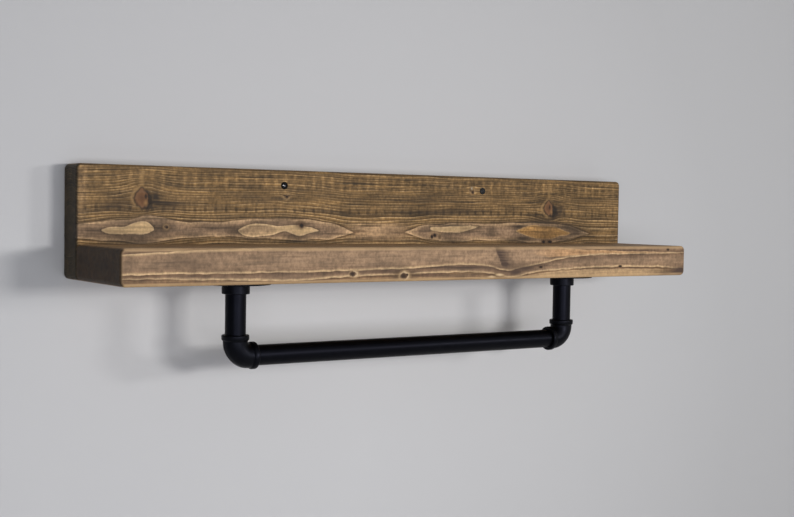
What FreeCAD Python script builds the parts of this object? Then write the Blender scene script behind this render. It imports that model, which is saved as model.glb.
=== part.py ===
import FreeCAD, Part
import os

# Bathroom shelf with towel bar, in millimetres.
# +X runs along the shelf, +Y into the wall, +Z up.
# The origin is the middle of the back board's rear face, on the wall.

# Boards: eased-edge softwood
board_length = 914.0      # both boards are cut to one length
back_height = 145.0
back_thick = 45.0
shelf_depth = 145.0       # from the back board's face to the front edge
shelf_thick = 45.0
corner_round = 7.0        # corners of each board's ends, as seen from the room
edge_ease = 3.5           # rounding along the front and rear outlines

# Pipe rail
pipe_d = 26.7
pipe_wall = 2.6
leg_spacing = 547.0       # between the two drop pipes' axes
leg_setback = 70.0        # drop pipe axis in front of the back board
bar_drop = 95.4           # towel bar axis below the shelf's underside
thread_grip = 11.0        # length of pipe screwed into each elbow
thread_gap = 0.15         # all round a pipe in its socket
pipe_inset = 2.0          # drop pipe's end short of the shelf's underside

# Banded elbows
elbow_wall = 2.45         # body outside the pipe's radius
elbow_throat = 2.8        # radius inside the bend
elbow_arm = 9.0           # straight run at each mouth
band_wall = 4.35          # band outside the pipe's radius
band_length = 7.0
band_round = 1.4

# Floor flanges
hub_wall = 4.45           # hub outside the pipe's radius
hub_chamfer = 0.8
flange_height = 16.0      # disc and hub together
disc_thick = 3.8
disc_round = 1.0
hub_fillet = 1.5          # root of the hub on the disc
flange_land = 14.0        # hub's side to the screw circle
flange_margin = 13.0      # screw circle to the disc's rim
flange_holes = 4

# Wood screws: head, plain shank, thread, tip
screw_gap = 0.1           # all round a screw in its hole
head_rim = 0.5            # straight edge of a countersunk head
joining_count = 5
joining_inset = 60.0      # outer joining screws from the boards' ends
joining_head_d = 11.5
joining_shank_d = 4.2
joining_thread_d = 6.0
joining_bite = 55.0       # length in the shelf
joining_sink = 0.5        # heads below the rear face
joining_tip = 6.0
wall_spacing = 340.0
wall_shift = 3.5          # pair's middle right of the board's middle
wall_drop = 21.0          # below the back board's top
wall_head_d = 10.0
wall_shank_d = 3.6
wall_thread_d = 5.0
wall_reach = 45.0         # length behind the back board
wall_tip = 5.0
flange_head_d = 8.5
flange_shank_d = 3.2
flange_thread_d = 4.5
flange_plain = 10.0       # head and plain shank together
flange_length = 40.0
flange_tip = 4.5

# Places that follow from the sizes
pipe_r = pipe_d / 2
bore_r = pipe_r - pipe_wall
socket_r = pipe_r + thread_gap
body_r = pipe_r + elbow_wall
bend_r = elbow_throat + body_r
elbow_reach = bend_r + elbow_arm
seat = elbow_reach - thread_grip          # elbow's centre to the pipe's end
shelf_under = -back_height / 2
shelf_top = shelf_under + shelf_thick
leg_y = -back_thick - leg_setback
bar_z = shelf_under - bar_drop
hole_circle = pipe_r + hub_wall + flange_land

UP = FreeCAD.Vector(0, 0, 1)
DOWN = FreeCAD.Vector(0, 0, -1)
FRONT = FreeCAD.Vector(0, -1, 0)
BACK = FreeCAD.Vector(0, 1, 0)
RIGHT = FreeCAD.Vector(1, 0, 0)


def vec(x, y, z):
    return FreeCAD.Vector(x, y, z)


def turned(profile):
    """Solid of revolution about Z from a list of (radius, height) points."""
    points = [vec(r, 0, z) for r, z in profile]
    face = Part.Face(Part.makePolygon(points + points[:1]))
    return face.revolve(vec(0, 0, 0), UP, 360)


def placed(shape, at, direction):
    """Copy of a shape built along +Z, turned to a direction and moved."""
    copy = shape.copy()
    copy.Placement = FreeCAD.Placement(at, FreeCAD.Rotation(UP, direction))
    return copy


def board(low, high):
    """Board between two corners, its ends rounded and its outlines eased."""
    size = high - low
    block = Part.makeBox(size.x, size.y, size.z, low)
    corners = [edge for edge in block.Edges if edge.BoundBox.YLength > size.y / 2]
    block = block.makeFillet(corner_round, corners)
    outlines = [edge for edge in block.Edges if edge.BoundBox.YLength < size.y / 2]
    return block.makeFillet(edge_ease, outlines)


def wood_screw(head_d, shank_d, thread_d, plain, length, tip):
    """Countersunk screw whose head's top is at the origin, pointing down."""
    cone = head_rim + (head_d - shank_d) / 2
    return turned([(0, 0), (head_d / 2, 0), (head_d / 2, -head_rim), (shank_d / 2, -cone),
                   (shank_d / 2, -plain), (thread_d / 2, -plain),
                   (thread_d / 2, tip - length), (0, -length)])


def screw_room(head_d, thread_d, length, above):
    """Space drilled for a screw: open above the head, countersunk, straight."""
    head_r = head_d / 2 + screw_gap
    hole_r = thread_d / 2 + screw_gap
    cone = head_rim + head_r - hole_r
    return turned([(0, above), (head_r, above), (head_r, -head_rim), (hole_r, -cone),
                   (hole_r, -length - screw_gap), (0, -length - screw_gap)])


def pipe(length):
    """Pipe along +Z from the origin."""
    outer = Part.makeCylinder(pipe_r, length)
    return outer.cut(Part.makeCylinder(bore_r, length))


def bend(radius):
    """Quarter bend from the +Z arm to the +X arm about the elbow's centre."""
    ring = Part.Face(Part.Wire(Part.makeCircle(radius, vec(0, 0, bend_r), UP)))
    return ring.revolve(vec(bend_r, 0, bend_r), FRONT, 90)


def mouth(radius, start, end):
    """The same cylinder on both arms of an elbow."""
    length = end - start
    return [Part.makeCylinder(radius, length, direction * start, direction)
            for direction in (UP, RIGHT)]


def band(direction):
    """Rounded band round one mouth of an elbow."""
    start = direction * (elbow_reach - band_length)
    ring = Part.makeCylinder(pipe_r + band_wall, band_length, start, direction)
    rims = [edge for edge in ring.Edges if edge.isClosed()]
    return ring.makeFillet(band_round, rims)


def elbow():
    """Banded elbow with its centre at the origin and mouths at +Z and +X."""
    outside = bend(body_r).fuse(mouth(body_r, bend_r, elbow_reach) + [band(UP), band(RIGHT)])
    inside = bend(bore_r).fuse(mouth(socket_r, seat, elbow_reach))
    return outside.removeSplitter().cut(inside)


def hole_places():
    """Flange screw places about the hub's axis, between the two main directions."""
    step = 360.0 / flange_holes
    turns = [FreeCAD.Rotation(UP, step * (i + 0.5)) for i in range(flange_holes)]
    return [turn.multVec(RIGHT * hole_circle) for turn in turns]


def floor_flange():
    """Floor flange hanging from the origin, hub down."""
    hub_r = pipe_r + hub_wall
    disc_r = hole_circle + flange_margin
    disc = Part.makeCylinder(disc_r, disc_thick, vec(0, 0, -disc_thick))
    rim = [e for e in disc.Edges if e.isClosed() and e.BoundBox.ZMax < -disc_thick / 2]
    disc = disc.makeFillet(disc_round, rim)
    hub = Part.makeCylinder(hub_r, flange_height, vec(0, 0, -flange_height))
    rim = [e for e in hub.Edges if e.isClosed() and e.BoundBox.ZMax < -flange_height / 2]
    body = disc.fuse(hub.makeChamfer(hub_chamfer, rim)).removeSplitter()
    root = [e for e in body.Edges if e.isClosed() and abs(e.BoundBox.ZMax + disc_thick) < 0.01
            and abs(e.BoundBox.XMax - hub_r) < 0.01]
    body = body.makeFillet(hub_fillet, root)
    body = body.cut(Part.makeCylinder(socket_r, flange_height, vec(0, 0, -flange_height)))
    room = screw_room(flange_head_d, flange_thread_d, flange_length, flange_height)
    rooms = [placed(room, at - UP * disc_thick, DOWN) for at in hole_places()]
    return body.cut(rooms)


def joining_places():
    """Heads of the screws that hold the shelf to the back board."""
    step = (board_length - 2 * joining_inset) / (joining_count - 1)
    height = shelf_under + shelf_thick / 2
    return [vec(joining_inset - board_length / 2 + step * i, -joining_sink, height)
            for i in range(joining_count)]


def wall_places():
    """Heads of the screws that hold the back board to the wall."""
    height = back_height / 2 - wall_drop
    return [vec(wall_shift + side * wall_spacing / 2, -back_thick, height) for side in (-1, 1)]


def aimed(screw, places, direction):
    """Copies of a screw or its room with heads at places, pointing along direction."""
    return [placed(screw, at, -direction) for at in places]


def save(name, shape):
    """Write one node and say what it holds."""
    shape.exportStep("parts/" + name + ".step")
    print(name, "solids", len(shape.Solids), "volume", round(shape.Volume, 1))


os.makedirs("parts", exist_ok=True)

# Boards with the holes that their screws need
joining_length = back_thick - joining_sink + joining_bite
joining_room = screw_room(joining_head_d, joining_thread_d, joining_length, joining_sink)
joining_rooms = aimed(joining_room, joining_places(), FRONT)
wall_length = back_thick + wall_reach
wall_rooms = aimed(screw_room(wall_head_d, wall_thread_d, wall_length, 0.0), wall_places(), BACK)
half = board_length / 2
back_board = board(vec(-half, -back_thick, -back_height / 2), vec(half, 0, back_height / 2))
save("back_board", back_board.cut(joining_rooms + wall_rooms))

left = vec(-leg_spacing / 2, leg_y, shelf_under)
right = vec(leg_spacing / 2, leg_y, shelf_under)
flange_room = screw_room(flange_head_d, flange_thread_d, flange_length, 0.0)
flange_rooms = []
flange_heads = {}
for name, at in (("left", left), ("right", right)):
    flange_heads[name] = [at + place - UP * disc_thick for place in hole_places()]
    flange_rooms += aimed(flange_room, flange_heads[name], UP)
shelf = board(vec(-half, -back_thick - shelf_depth, shelf_under), vec(half, -back_thick, shelf_top))
save("shelf_board", shelf.cut(joining_rooms + flange_rooms))

# Screws
joining_screw = wood_screw(joining_head_d, joining_shank_d, joining_thread_d,
                           back_thick - joining_sink, joining_length, joining_tip)
save("joining_screws", Part.makeCompound(aimed(joining_screw, joining_places(), FRONT)))
wall_screw = wood_screw(wall_head_d, wall_shank_d, wall_thread_d, back_thick, wall_length, wall_tip)
save("wall_screws", Part.makeCompound(aimed(wall_screw, wall_places(), BACK)))
flange_screw = wood_screw(flange_head_d, flange_shank_d, flange_thread_d,
                          flange_plain, flange_length, flange_tip)

# Pipe rail: flange, drop pipe and elbow on each side, bar between
for name, at in (("left", left), ("right", right)):
    corner = vec(at.x, at.y, bar_z)
    spin = FreeCAD.Rotation(UP, 0 if name == "left" else 180)
    save(name + "_flange", placed(floor_flange(), at, UP))
    save(name + "_flange_screws", Part.makeCompound(aimed(flange_screw, flange_heads[name], UP)))
    save(name + "_drop_pipe", placed(pipe(bar_drop - pipe_inset - seat), corner + UP * seat, UP))
    fitting = elbow()
    fitting.Placement = FreeCAD.Placement(corner, spin)
    save(name + "_elbow", fitting)
bar_start = vec(left.x + seat, leg_y, bar_z)
save("towel_bar", placed(pipe(leg_spacing - 2 * seat), bar_start, RIGHT))
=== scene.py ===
import math

import bpy
import numpy as np
from mathutils import Matrix, Vector


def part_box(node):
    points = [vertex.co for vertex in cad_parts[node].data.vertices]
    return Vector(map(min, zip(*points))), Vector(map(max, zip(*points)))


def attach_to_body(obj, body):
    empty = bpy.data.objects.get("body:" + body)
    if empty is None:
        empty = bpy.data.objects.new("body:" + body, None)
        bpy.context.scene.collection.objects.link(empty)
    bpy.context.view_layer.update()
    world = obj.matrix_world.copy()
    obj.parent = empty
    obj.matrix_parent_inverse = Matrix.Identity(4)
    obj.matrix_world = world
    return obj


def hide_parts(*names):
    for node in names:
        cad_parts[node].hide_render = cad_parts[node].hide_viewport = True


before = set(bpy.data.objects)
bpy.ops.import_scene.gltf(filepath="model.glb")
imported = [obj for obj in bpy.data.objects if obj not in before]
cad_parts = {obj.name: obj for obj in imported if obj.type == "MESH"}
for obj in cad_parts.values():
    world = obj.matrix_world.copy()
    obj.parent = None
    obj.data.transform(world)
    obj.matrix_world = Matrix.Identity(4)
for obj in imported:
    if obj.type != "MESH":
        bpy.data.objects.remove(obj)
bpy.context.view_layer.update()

mm = 0.001


def linear(hexText, alpha=1.0):
    parts = [int(hexText[i:i + 2], 16) / 255 for i in (0, 2, 4)]
    return (*[p / 12.92 if p <= 0.04045 else ((p + 0.055) / 1.055) ** 2.4 for p in parts], alpha)


# settings name a property or an input of the node, links join an input to another node's output;
# gives back one output of the node, or all of them for None
def addNode(tree, kind, settings=None, links=None, output=0):
    node = tree.nodes.new(kind)
    for key, value in (settings or {}).items():
        if key == "stops":
            ramp = node.color_ramp
            while len(ramp.elements) < len(value):
                ramp.elements.new(0.5)
            for element, (place, colour) in zip(ramp.elements, value):
                element.position = place
                element.color = colour
        elif isinstance(key, str) and hasattr(node, key):
            setattr(node, key, value)
        else:
            node.inputs[key].default_value = value
    for key, sockets in (links or {}).items():
        for socket in sockets if isinstance(sockets, list) else [sockets]:
            tree.links.new(socket, node.inputs[key])
    return node.outputs if output is None or len(node.outputs) == 0 else node.outputs[output]


def newMaterial(name):
    material = bpy.data.materials.new(name)
    material.use_nodes = True
    material.node_tree.nodes.clear()
    return material, material.node_tree


def link(obj):
    bpy.context.scene.collection.objects.link(obj)
    return obj


def meshObject(name, verts, faces, edges=()):
    mesh = bpy.data.meshes.new(name)
    mesh.from_pydata([tuple(v) for v in verts], list(edges), [tuple(f) for f in faces])
    mesh.update()
    return link(bpy.data.objects.new(name, mesh))


# turns the modifiers of an object into its plain mesh
def applyModifiers(obj):
    made = bpy.data.meshes.new_from_object(obj.evaluated_get(bpy.context.evaluated_depsgraph_get()))
    obj.modifiers.clear()
    old = obj.data
    obj.data = made
    bpy.data.meshes.remove(old)


# an empty geometry tree with its named inputs, and the sockets that give them
def geometryTree(name, inputs):
    tree = bpy.data.node_groups.new(name, "GeometryNodeTree")
    tree.interface.new_socket("Geometry", in_out="INPUT", socket_type="NodeSocketGeometry")
    for label, kind in inputs:
        tree.interface.new_socket(label, in_out="INPUT", socket_type=kind)
    tree.interface.new_socket("Geometry", in_out="OUTPUT", socket_type="NodeSocketGeometry")
    return tree, addNode(tree, "NodeGroupInput", output=None)


def runTree(obj, tree, values):
    modifier = obj.modifiers.new(tree.name, "NODES")
    modifier.node_group = tree
    for item in tree.interface.items_tree:
        if item.in_out == "INPUT" and item.name in values:
            modifier[item.identifier] = values[item.name]
    applyModifiers(obj)


# corners of a CAD node in millimetres
def boxMm(node):
    low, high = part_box(node)
    return np.array(low) / mm, np.array(high) / mm


def pointsMm(mesh):
    flat = np.zeros(len(mesh.vertices) * 3, np.float32)
    mesh.vertices.foreach_get("co", flat)
    return flat.reshape(-1, 3).astype(float) / mm


def storeValues(mesh, name, values):
    layer = mesh.attributes.new(name, "FLOAT", "POINT")
    layer.data.foreach_set("value", np.asarray(values, np.float32))


# shades a piece smooth up to an angle in degrees and puts it in the place of a CAD node
def attach(piece, node, sharpAngle):
    piece.data.shade_smooth()
    piece.data.set_sharp_from_angle(angle=math.radians(sharpAngle))
    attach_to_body(piece, "root")
    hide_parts(node)
    print(piece.name, len(piece.data.polygons), "faces")


backLow, backHigh = boxMm("back_board")
shelfLow, shelfHigh = boxMm("shelf_board")
print("frame read, boards", np.round(backHigh - backLow, 1), np.round(shelfHigh - shelfLow, 1))

# what both boards share, in mm; soft values are how far the listed lines are rounded, pairs are where
# a change starts and is full, and waves are their lengths along x, y and z, how many are added up,
# and what is added to the board's seed
timber = {
    "rims": (8.0, 4.2, 8.0), "fines": (0.9, 0.7, 0.9), "cornerRound": 7.0, "edgeEase": 3.5, "sharp": 50,
    "hollow": 0.35, "hollowMean": 0.5, "hollowSpread": 0.35, "hollowMost": 1.4,
    "hollowInset": (4, 14), "stainDeep": (14, 2), "front": (5, 3.5), "endInset": (3.4, 0.7),
    "endTurn": (0.2, 0.75), "endShadingShift": 1.6, "slantEdge": (-0.5, 1.5), "slantFoot": (-4, 3),
    "firstRings": (1.7, 3.6, 5.8), "lastRing": 200.0, "waverFrom": (8, 40),
    "ripple": 0.55, "rippleFrom": (1, 12),
    "softRings": 9, "softLoops": 5, "softIslands": 3, "islandReach": 12, "noIsland": -40.0,
    "ringWaves": ((150, 60, 34), 7, 0), "rippleWaves": ((600, 24, 24), 6, 9),
    "hollowWaves": ((260, 70, 60), 9, 5), "lineWaves": ((46, 60, 40), 6, 2),
    "holeSides": 40,
}


def smooth(value, low, high):
    t = np.clip((value - low) / (high - low), 0, 1)
    return t * t * (3 - 2 * t)


# one column of given rows along x, softened so that the line has no corners
def softLine(rows, column, x, soften):
    table = np.array(rows, float)
    fine = np.arange(table[0, 0] - 80, table[-1, 0] + 81)
    reach = np.arange(-3 * soften, 3 * soften + 1)
    weight = np.exp(-0.5 * (reach / soften) ** 2)
    wider = np.arange(fine[0] + reach[0], fine[-1] + reach[-1] + 0.5)
    padded = np.interp(wider, table[:, 0], table[:, column])
    return np.interp(x, fine, np.convolve(padded, weight / weight.sum(), "valid"))


# sum of slow waves, for lines and surfaces that wander
def wander(points, waves, seed):
    lengths, count, seedStep = waves
    draw = np.random.default_rng(seed + seedStep)
    total = np.zeros(len(points))
    for i in range(count):
        turn = draw.normal(size=3) / np.array(lengths)
        total += np.sin(points @ turn * 2 * math.pi + draw.uniform(0, 2 * math.pi))
    return total / math.sqrt(count)


# distance in mm to a loop of late wood, positive inside it; rows are x, lower edge, upper edge
def loopDistance(rows, x, z, soften):
    low, high = [softLine(rows, column, x, soften) for column in (1, 2)]
    slopeLow = softLine(rows, 1, x + 1, soften) - low
    slopeHigh = softLine(rows, 2, x + 1, soften) - high
    inside = np.minimum((high - z) / np.hypot(1, slopeHigh), (z - low) / np.hypot(1, slopeLow))
    beyond = np.maximum(np.maximum(rows[0][0] - x, x - rows[-1][0]), 0)
    return np.where(beyond > 0, -np.hypot(beyond, np.minimum(inside, 0)), inside)


# years counted from the outer loop, in rings round a heart line behind the face
def growthRings(points, wood):
    x, y, z = points.T
    up = z - wood["bottom"]
    for knot in wood["knots"]:
        far = ((x - knot["x"]) / knot["bowWide"]) ** 2 + ((up - knot["z"]) / knot["bowTall"]) ** 2
        up = up - (up - knot["z"]) * knot["bow"] * np.exp(-far)
    low, high = [softLine(wood["outerLoop"], column, x, timber["softRings"]) for column in (1, 2)]
    half = (high - low) / 2
    start, width = wood["heartDepth"], wood["ringWidth"]
    depth = y - wood["face"] - start
    shown = np.clip(-depth / start, 0, 1) ** 2
    reach = depth ** 2 - half * np.abs(half) * shown + (up - (low + high) / 2) ** 2
    reach = np.sqrt(np.maximum(reach, 0))
    waver = wood["waver"] * wander(points, timber["ringWaves"], wood["seed"])
    reach += waver * smooth(reach, *timber["waverFrom"])
    ripple = timber["ripple"] * wander(points, timber["rippleWaves"], wood["seed"])
    reach += ripple * smooth(reach, *timber["rippleFrom"])
    first, last = timber["firstRings"], timber["lastRing"]
    places = [0, start] + [start + ring for ring in (*first, last)]
    years = [-start / width, 0, 1, 2, 3, 3 + (last - first[-1]) / width]
    return np.interp(reach, places, years)


# grid lines that crowd towards both ends, so that the eased edges come out round
def crowded(low, high, step, rim, fine):
    count = max(2, round((high - low - 2 * rim) / step) + 1)
    edge = np.arange(0, rim - fine / 2, fine)
    return np.concatenate([low + edge, np.linspace(low + rim, high - rim, count), (high - edge)[::-1]])


# closed box of quads on the given grid lines
def shellGrid(lines):
    counts = [len(row) for row in lines]
    strides = np.array([counts[1] * counts[2], counts[2], 1])
    quads = []
    for axis in range(3):
        a, b = (axis + 1) % 3, (axis + 2) % 3
        cells = np.meshgrid(np.arange(counts[a] - 1), np.arange(counts[b] - 1), indexing="ij")
        ia, ib = [g.ravel() for g in cells]
        for end in (0, counts[axis] - 1):
            base = end * strides[axis]
            ring = [base + (ia + da) * strides[a] + (ib + db) * strides[b]
                    for da, db in ((0, 0), (1, 0), (1, 1), (0, 1))]
            quads.append(np.stack(ring if end else ring[::-1], 1))
    keys, index = np.unique(np.concatenate(quads), return_inverse=True)
    cells = np.stack([keys // strides[0], keys // strides[1] % counts[1], keys % counts[2]], 1)
    verts = np.stack([np.array(lines[k])[cells[:, k]] for k in range(3)], 1)
    return verts, index.reshape(-1, 4)


# rounds the four end corners, then eases the outline of the front and rear faces
def easeShell(verts, low, high, cornerRound, edgeEase):
    mid, half = (low + high) / 2, (high - low) / 2
    flat = (verts - mid)[:, [0, 2]]
    inner = half[[0, 2]] - cornerRound
    core = np.clip(flat, -inner, inner)
    out = flat - core
    length = np.maximum(np.linalg.norm(out, axis=1), 1e-9)
    out = out * (np.abs(out).max(1) / length)[:, None]
    far = np.linalg.norm(out, axis=1)
    aim = out / np.maximum(far, 1e-9)[:, None]
    fromSide = cornerRound - far
    fromFace = half[1] - np.abs(verts[:, 1] - mid[1])
    near = (fromSide < edgeEase) & (fromFace < edgeEase)
    turn = np.clip((edgeEase - fromSide + fromFace) / (2 * edgeEase), 0, 1) * math.pi / 2
    fromSide = np.where(near, edgeEase * (1 - np.sin(turn)), fromSide)
    fromFace = np.where(near, edgeEase * (1 - np.cos(turn)), fromFace)
    flat = np.where((far > 1e-6)[:, None], core + aim * (cornerRound - fromSide)[:, None], flat)
    made = verts.copy()
    made[:, 0], made[:, 2] = flat[:, 0] + mid[0], flat[:, 1] + mid[2]
    made[:, 1] = mid[1] + np.sign(verts[:, 1] - mid[1]) * (half[1] - fromFace)
    return made


# sanding and drying leave each face a little hollow; only ever inwards from the sawn size
def wearFaces(verts, low, high, wood):
    mid, half = (low + high) / 2, (high - low) / 2
    most = timber["hollowMost"]
    waves = np.clip(wander(verts, timber["hollowWaves"], wood["seed"]), -most, most)
    hollow = timber["hollow"] * (timber["hollowMean"] + timber["hollowSpread"] * waves)
    for knot in wood["knots"]:
        far = ((verts[:, 0] - knot["x"]) / knot["bowWide"]) ** 2
        far += ((verts[:, 2] - wood["bottom"] - knot["z"]) / knot["bowTall"]) ** 2
        hollow += knot["sunk"] * np.exp(-4 * far)
    made = verts.copy()
    for axis in range(3):
        others = [k for k in range(3) if k != axis]
        onFace = half[axis] - np.abs(verts[:, axis] - mid[axis]) < 1e-4
        inset = np.min(half[others] - np.abs(verts[:, others] - mid[others]), axis=1)
        push = hollow * smooth(inset, *timber["hollowInset"]) * onFace
        made[:, axis] -= np.sign(verts[:, axis] - mid[axis]) * push
    return made


def turnedMesh(profile, sides):
    angles = np.arange(sides) * 2 * math.pi / sides
    verts, faces = [], []
    for radius, height in profile:
        verts += [(radius * math.cos(a), radius * math.sin(a), height) for a in angles]
    for row in range(len(profile) - 1):
        for k in range(sides):
            n = (k + 1) % sides
            faces.append((row * sides + k, row * sides + n, (row + 1) * sides + n, (row + 1) * sides + k))
    faces.append(tuple(reversed(range(sides))))
    faces.append(tuple(range((len(profile) - 1) * sides, len(profile) * sides)))
    return verts, faces


# drills turned holes: each has a mouth, a direction and a profile of radius and depth in mm
def drill(board, holes):
    for mouth, aim, profile in holes:
        verts, faces = turnedMesh(profile, timber["holeSides"])
        bit = meshObject("bit", np.array(verts) * mm, faces)
        turn = Vector(aim).to_track_quat("Z", "X").to_matrix().to_4x4()
        bit.data.transform(Matrix.Translation(Vector(mouth) * mm) @ turn)
        modifier = board.modifiers.new("hole", "BOOLEAN")
        modifier.object = bit
        modifier.solver = "EXACT"
        applyModifiers(board)
        bpy.data.objects.remove(bit)


# listed soft spots added up: x, height, reach along, reach up, strength
def spots(rows, x, up, power):
    total = np.zeros(len(x))
    for px, pz, wide, tall, strength in rows:
        total += strength * np.exp(-np.abs((x - px) / wide) ** power - np.abs((up - pz) / tall) ** power)
    return total


# stain with a sharp edge from the first to the second point, fading to the right over a length
def slantedStain(rows, x, up):
    total = np.zeros(len(x))
    for x1, z1, x2, z2, fade, strength in rows:
        beside = x - np.interp(up, [z2, z1], [x2, x1])
        edge = smooth(beside, *timber["slantEdge"]) * smooth(up - z2, *timber["slantFoot"])
        total += strength * edge * np.exp(-(beside / fade) ** 2)
    return total


# distance in mm to the nearest island, positive inside it, and how full and how amber that one is
def islandValues(islands, x, z):
    nearest = np.full(len(x), timber["noIsland"])
    fill, amber = np.zeros(len(x)), np.zeros(len(x))
    for island in islands:
        reach = loopDistance(island["rows"], x, z, timber["softIslands"])
        mine = reach > np.maximum(nearest, -timber["islandReach"])
        fill = np.where(mine, softLine(island["fill"], 1, x, timber["softIslands"]), fill)
        amber = np.where(mine, island["amber"], amber)
        nearest = np.maximum(nearest, reach)
    return {"islands": nearest, "fill": fill, "amber": amber}


# what each point of a board tells its material
def woodValues(points, low, high, wood):
    x, y, z = points.T
    up, depth = z - wood["bottom"], y - wood["face"]
    past = np.maximum(np.abs(points - (low + high) / 2) - (high - low) / 2 + timber["cornerRound"], 0)
    corner = np.hypot(past[:, 0], past[:, 2])
    inset = timber["cornerRound"] - corner
    endward = past[:, 0] / np.maximum(corner, 0.001)
    wavy = up + wood["lineWaver"] * wander(points * np.array((1, 0, 1)), timber["lineWaves"], wood["seed"])
    grey = slantedStain(wood["slants"], x, up) + spots(wood["smudges"], x, up, 2)
    values = {
        "rings": growthRings(points, wood),
        "shade": spots(wood["shades"], x, up, 2),
        "grey": grey * smooth(depth, *timber["stainDeep"]),
        "pale": np.clip(spots(wood["paleSpots"], x, up, 4), 0, 1),
        "front": smooth(depth, *timber["front"]),
        "endGrain": smooth(inset, *timber["endInset"]) * smooth(endward, *timber["endTurn"]),
        # how far in from the rounded outline, for the painted shade or painted highlight along the edges
        "rub": inset + timber["endShadingShift"] * endward,
        **islandValues(wood["islands"], x, wavy),
    }
    for key in ("outerLoop", "innerLoop"):
        if wood[key]:
            values[key] = loopDistance(wood[key], x, wavy, timber["softLoops"])
    return values


def makeBoard(name, node, low, high, wood, holes):
    lines = [crowded(low[k], high[k], wood["steps"][k], timber["rims"][k], timber["fines"][k])
             for k in range(3)]
    verts, quads = shellGrid(lines)
    verts = easeShell(verts, low, high, timber["cornerRound"], timber["edgeEase"])
    board = meshObject(name, wearFaces(verts, low, high, wood) * mm, quads)
    drill(board, holes)
    values = woodValues(pointsMm(board.data), low, high, wood)
    for key, value in values.items():
        storeValues(board.data, key, value)
    board.data.materials.append(stainedPine(wood, list(values)))
    attach(board, node, timber["sharp"])


# object coordinates in mm
def placeMm(tree):
    coords = addNode(tree, "ShaderNodeTexCoord", output="Object")
    return addNode(tree, "ShaderNodeVectorMath", {"operation": "SCALE", "Scale": 1 / mm}, {0: coords})


# noise fields from a table of lengths in mm along x, y and z, detail and roughness;
# a length of nought leaves that way out
def noiseFields(tree, place, table):
    fields = {}
    for key, (lengths, detail, roughness) in table.items():
        scale = [1 / length if length else 0 for length in lengths]
        at = addNode(tree, "ShaderNodeVectorMath", {"operation": "MULTIPLY", 1: scale}, {0: place})
        fields[key] = addNode(tree, "ShaderNodeTexNoise",
                              {"Scale": 1.0, "Detail": detail, "Roughness": roughness},
                              {"Vector": at}, "Fac")
    return fields


noiseSpan = {"From Min": 0.3, "From Max": 0.7}  # where most of a noise field lies
softStep = {"interpolation_type": "SMOOTHSTEP"}

woodNoise = {
    "waver": ((110, 7, 7), 3, 0.6),        # moves the rings by a fraction of their width
    "broken": ((35, 9, 9), 3, 0.65),       # rings come and go
    "wobble": ((14, 5, 5), 3, 0.6),        # edges of the loops
    "fade": ((40, 12, 12), 2, 0.5),        # late wood lines fade and swell
    "fibre": ((70, 3.4, 3.4), 4, 0.74),    # real fibres are finer, but would not show
    "streak": ((90, 3.8, 3.8), 2, 0.5),    # open pores that hold more stain
    "fuzz": ((3.8, 5.5, 5.5), 3, 0.6),     # planer chatter and fuzz across the grain
    "blotch": ((45, 14, 14), 3, 0.6),      # blotches of stain
}
rollerNoise = {"patch": ((70, 0, 7), 3, 0.7), "jitter": ((9, 0, 6), 2, 0.5)}

# the finish that both boards share: ranges of the fields, sheen and relief
pineFinish = {
    "broken": {"From Min": 0.35, "From Max": 0.65, "To Min": 0.05, "To Max": 1.0},
    "whole": {"From Min": 6.0, "From Max": 3.0},
    "inIsland": {**softStep, "From Min": 0.0, "From Max": 1.4},
    "amberRim": {"To Min": 1.0, "To Max": 0.25},
    "streak": {**softStep, "From Min": 0.55, "From Max": 0.70, "To Min": 1.0},
    "pooled": {"From Min": 0.3, "From Max": 0.62, "To Min": 0.5, "To Max": 1.1},
    "rough": {**noiseSpan, "To Min": 0.55, "To Max": 0.72},
    "ringRelief": 0.5, "bump": {"Strength": 0.25, "Distance": 0.0003}, "gloss": 0.25,
}


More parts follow.
